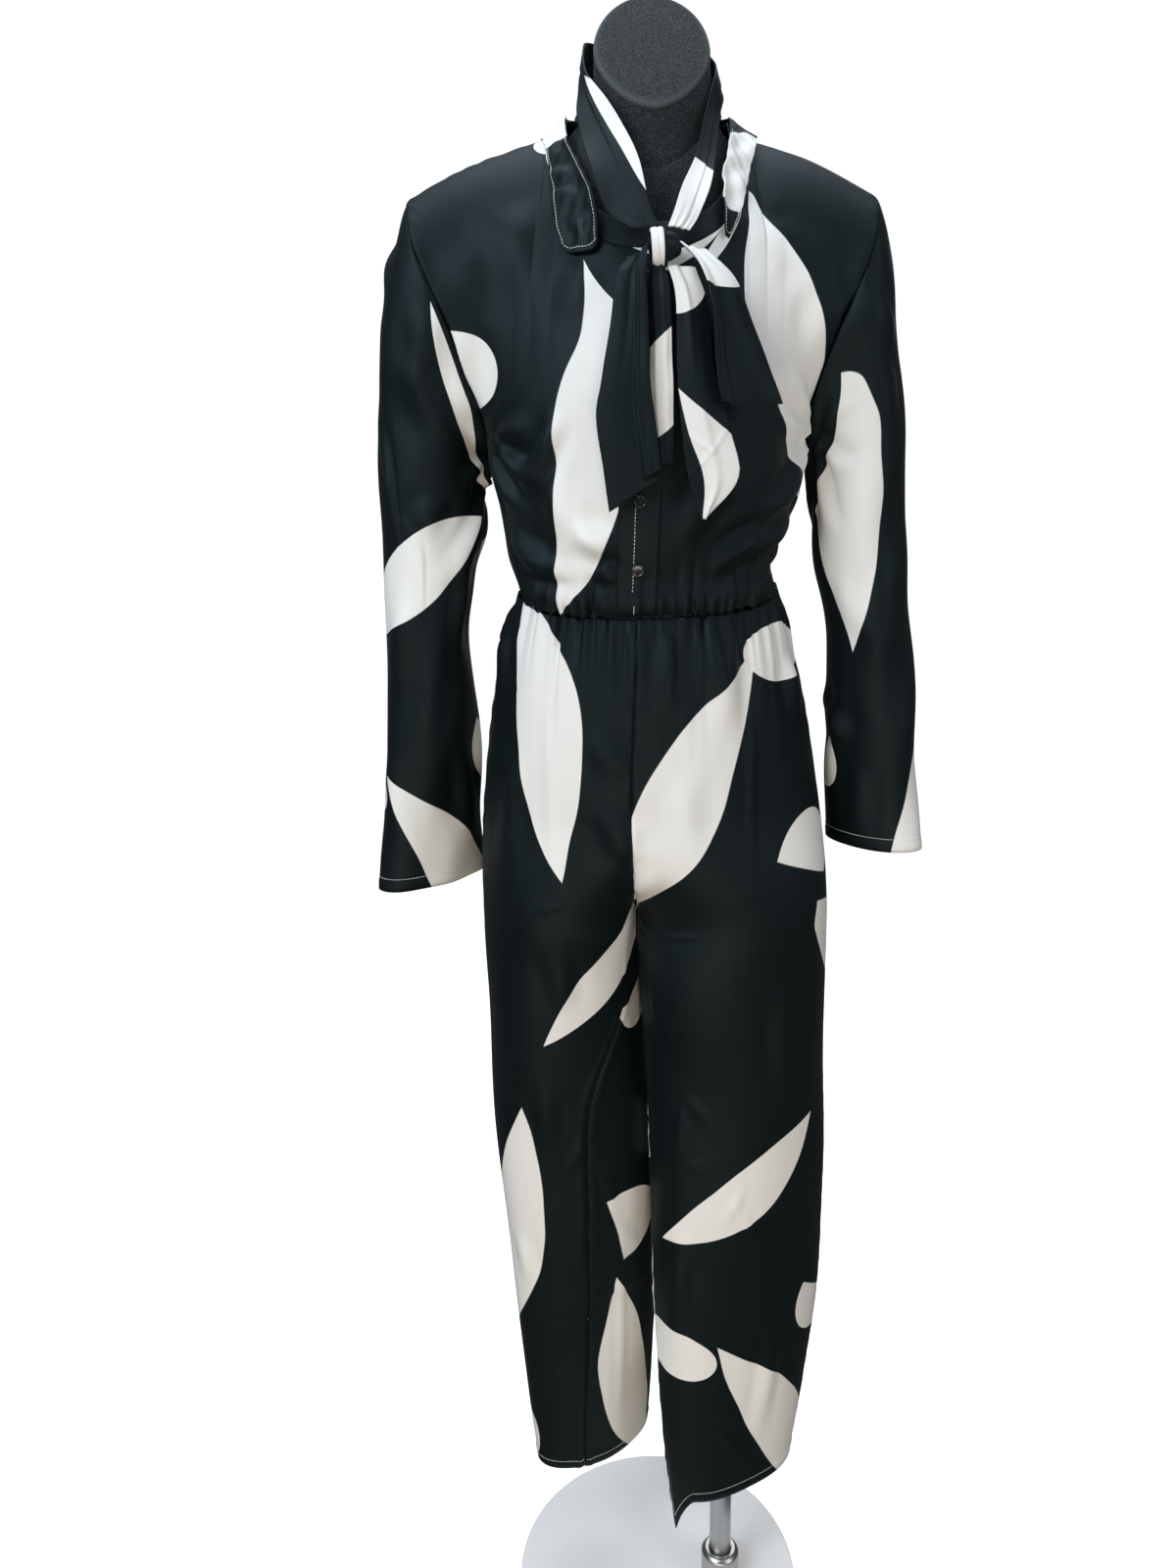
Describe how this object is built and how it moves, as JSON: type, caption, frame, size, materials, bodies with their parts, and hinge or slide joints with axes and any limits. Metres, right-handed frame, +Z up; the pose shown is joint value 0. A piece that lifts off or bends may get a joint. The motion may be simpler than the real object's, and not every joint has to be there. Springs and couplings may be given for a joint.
{
  "type": "jumpsuit on a dress form",
  "caption": "Long-sleeved jumpsuit with collar, tied neck and gathered waist, worn by a limbless dress form on a round stand.",
  "frame": {"origin": "centre of the base plate's underside", "axes": "+Z up; the garment's front faces -Y; the wearer's left is +X"},
  "size_m": [0.544, 0.33, 1.6985],
  "materials": {
    "cloth": "thin smooth polyester, near black with an ivory print",
    "button": "polished",
    "flock": "short charcoal velvet flock",
    "steel": "satin",
    "plate": "satin, pale grey"
  },
  "bodies": {
    "root": {"bodice_back": "cloth", "bodice_front_left": "cloth", "bodice_front_right": "cloth", "collar_left": "cloth", "collar_right": "cloth", "front_placket": "cloth", "neckband": "cloth", "sleeve_left": "cloth", "sleeve_right": "cloth", "tie_knot": "cloth", "tie_loop_left": "cloth", "tie_loop_right": "cloth", "tie_neck": "cloth", "tie_tail_left": "cloth", "tie_tail_right": "cloth", "trouser_back_left": "cloth", "trouser_back_right": "cloth", "trouser_front_left": "cloth", "trouser_front_right": "cloth", "waist_casing": "cloth", "button_1": "button", "button_2": "button", "button_3": "button", "button_4": "button", "form_torso": "flock", "neck_cap": "flock", "pole": "steel", "pole_flange": "steel", "pole_socket": "steel", "base_plate": "plate"}
  },
  "joints": []
}
